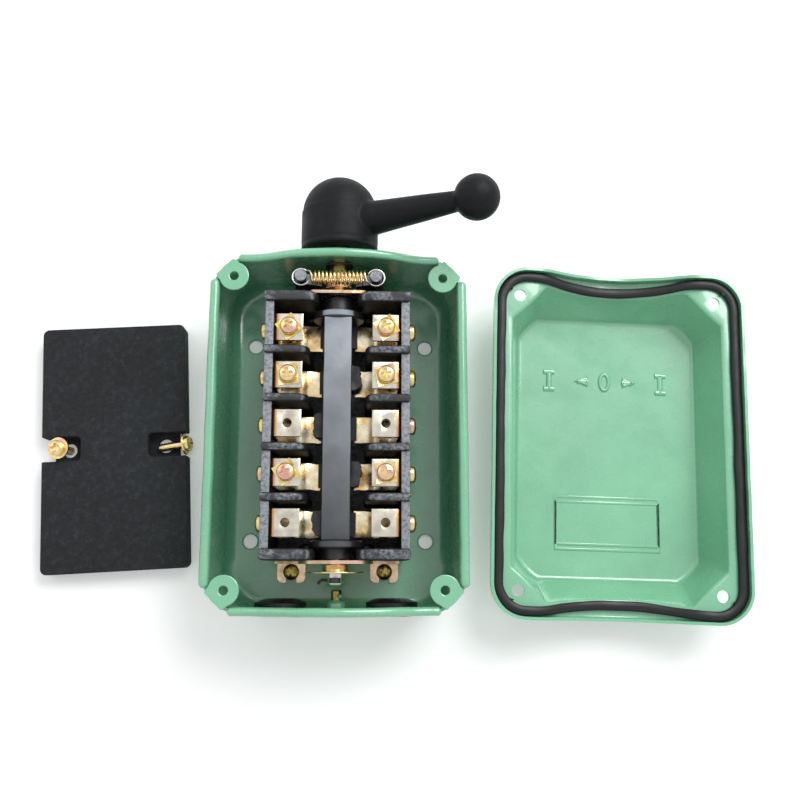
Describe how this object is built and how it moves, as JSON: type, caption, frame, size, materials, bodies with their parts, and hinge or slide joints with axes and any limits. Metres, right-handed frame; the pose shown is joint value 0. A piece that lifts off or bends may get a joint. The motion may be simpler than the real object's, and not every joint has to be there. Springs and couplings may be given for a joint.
{
  "type": "reversing drum switch",
  "caption": "Hand-turned drum switch in an opened steel box: contact boards, drum, detent spring and ball handle, with its lid and insulating cover beside it.",
  "frame": {"origin": "centre of the four wall holes, on the plane of the wall behind the box", "axes": "+Z out of the box towards the viewer, +Y along the shaft towards the handle, +X to the right where the lid lies"},
  "size_m": [0.2896, 0.1757, 0.0733],
  "materials": {
    "green_paint": "gloss enamel with a fine hammered texture",
    "black_rubber": "dull black rubber",
    "zinc_screw": "yellow passivated zinc",
    "zinc_plate": "pinkish passivated zinc",
    "black_bakelite": "moulded, with a rough sparkling front",
    "contact_brass": "bright brass strip, nickelled at the terminals",
    "shaft_steel": "turned steel",
    "black_steel": "blackened spring steel",
    "handle_plastic": "satin black moulding",
    "spring_steel": "yellow zinc wire",
    "cover_plastic": "dark grey fibre board"
  },
  "bodies": {
    "base": {"base_shell": "green_paint", "lid_lugs": "green_paint", "cable_plugs": "black_rubber", "earth_screw": "zinc_screw", "earth_nut": "green_paint", "top_bracket": "zinc_plate", "bottom_bracket": "zinc_plate", "bracket_screws": "zinc_screw", "board_screws": "zinc_screw", "left_contact_board": "black_bakelite", "right_contact_board": "black_bakelite", "contact_screws": "zinc_screw", "left_contact_1": "contact_brass", "left_contact_2": "contact_brass", "left_contact_3": "contact_brass", "left_contact_4": "contact_brass", "left_contact_5": "contact_brass", "right_contact_1": "contact_brass", "right_contact_2": "contact_brass", "right_contact_3": "contact_brass", "right_contact_4": "contact_brass", "right_contact_5": "contact_brass", "terminal_screws": "zinc_screw", "terminal_washers": "zinc_screw", "lever_pins": "zinc_plate", "detent_spring": "spring_steel"},
    "rotor": {"shaft": "shaft_steel", "drum": "black_bakelite", "moving_contacts": "contact_brass", "detent_cam": "zinc_plate", "retaining_ring": "black_steel", "shaft_washer": "zinc_screw", "cotter_pin": "shaft_steel", "handle": "handle_plastic"},
    "left_lever": {"left_lever": "black_bakelite"},
    "right_lever": {"right_lever": "black_bakelite"},
    "lid": {"lid_shell": "green_paint", "lid_gasket": "black_rubber"},
    "cover": {"insulating_cover": "cover_plastic", "cover_screws": "zinc_screw", "cover_washers": "zinc_screw"}
  },
  "joints": [
    {"name": "rotor_turn", "type": "hinge", "parent": "base", "child": "rotor", "pos_m": [0, 0, 0.035], "axis": [0, 1, 0], "range_deg": [-120, 0]},
    {"name": "left_lever_swing", "type": "hinge", "parent": "base", "child": "left_lever", "pos_m": [-0.0155, 0.0582, 0.01], "axis": [0, -1, 0], "range_deg": [0, 2.5], "stiffness_Nm_per_rad": 2.8, "springref_deg": -6.88, "deforming": ["detent_spring"]},
    {"name": "right_lever_swing", "type": "hinge", "parent": "base", "child": "right_lever", "pos_m": [0.0155, 0.0582, 0.01], "axis": [0, 1, 0], "range_deg": [0, 2.5], "stiffness_Nm_per_rad": 2.8, "springref_deg": -6.88, "deforming": ["detent_spring"]},
    {"name": "lid_turn", "type": "hinge", "parent": "base", "child": "lid", "pos_m": [0.05649, -0.00089, 0.03215], "axis": [-0.0157, -0.9999, 0], "range_deg": [0, 180]},
    {"name": "cover_lift", "type": "slide", "parent": "base", "child": "cover", "axis": [0, 0, 1], "range_m": [0, 0.06]}
  ]
}
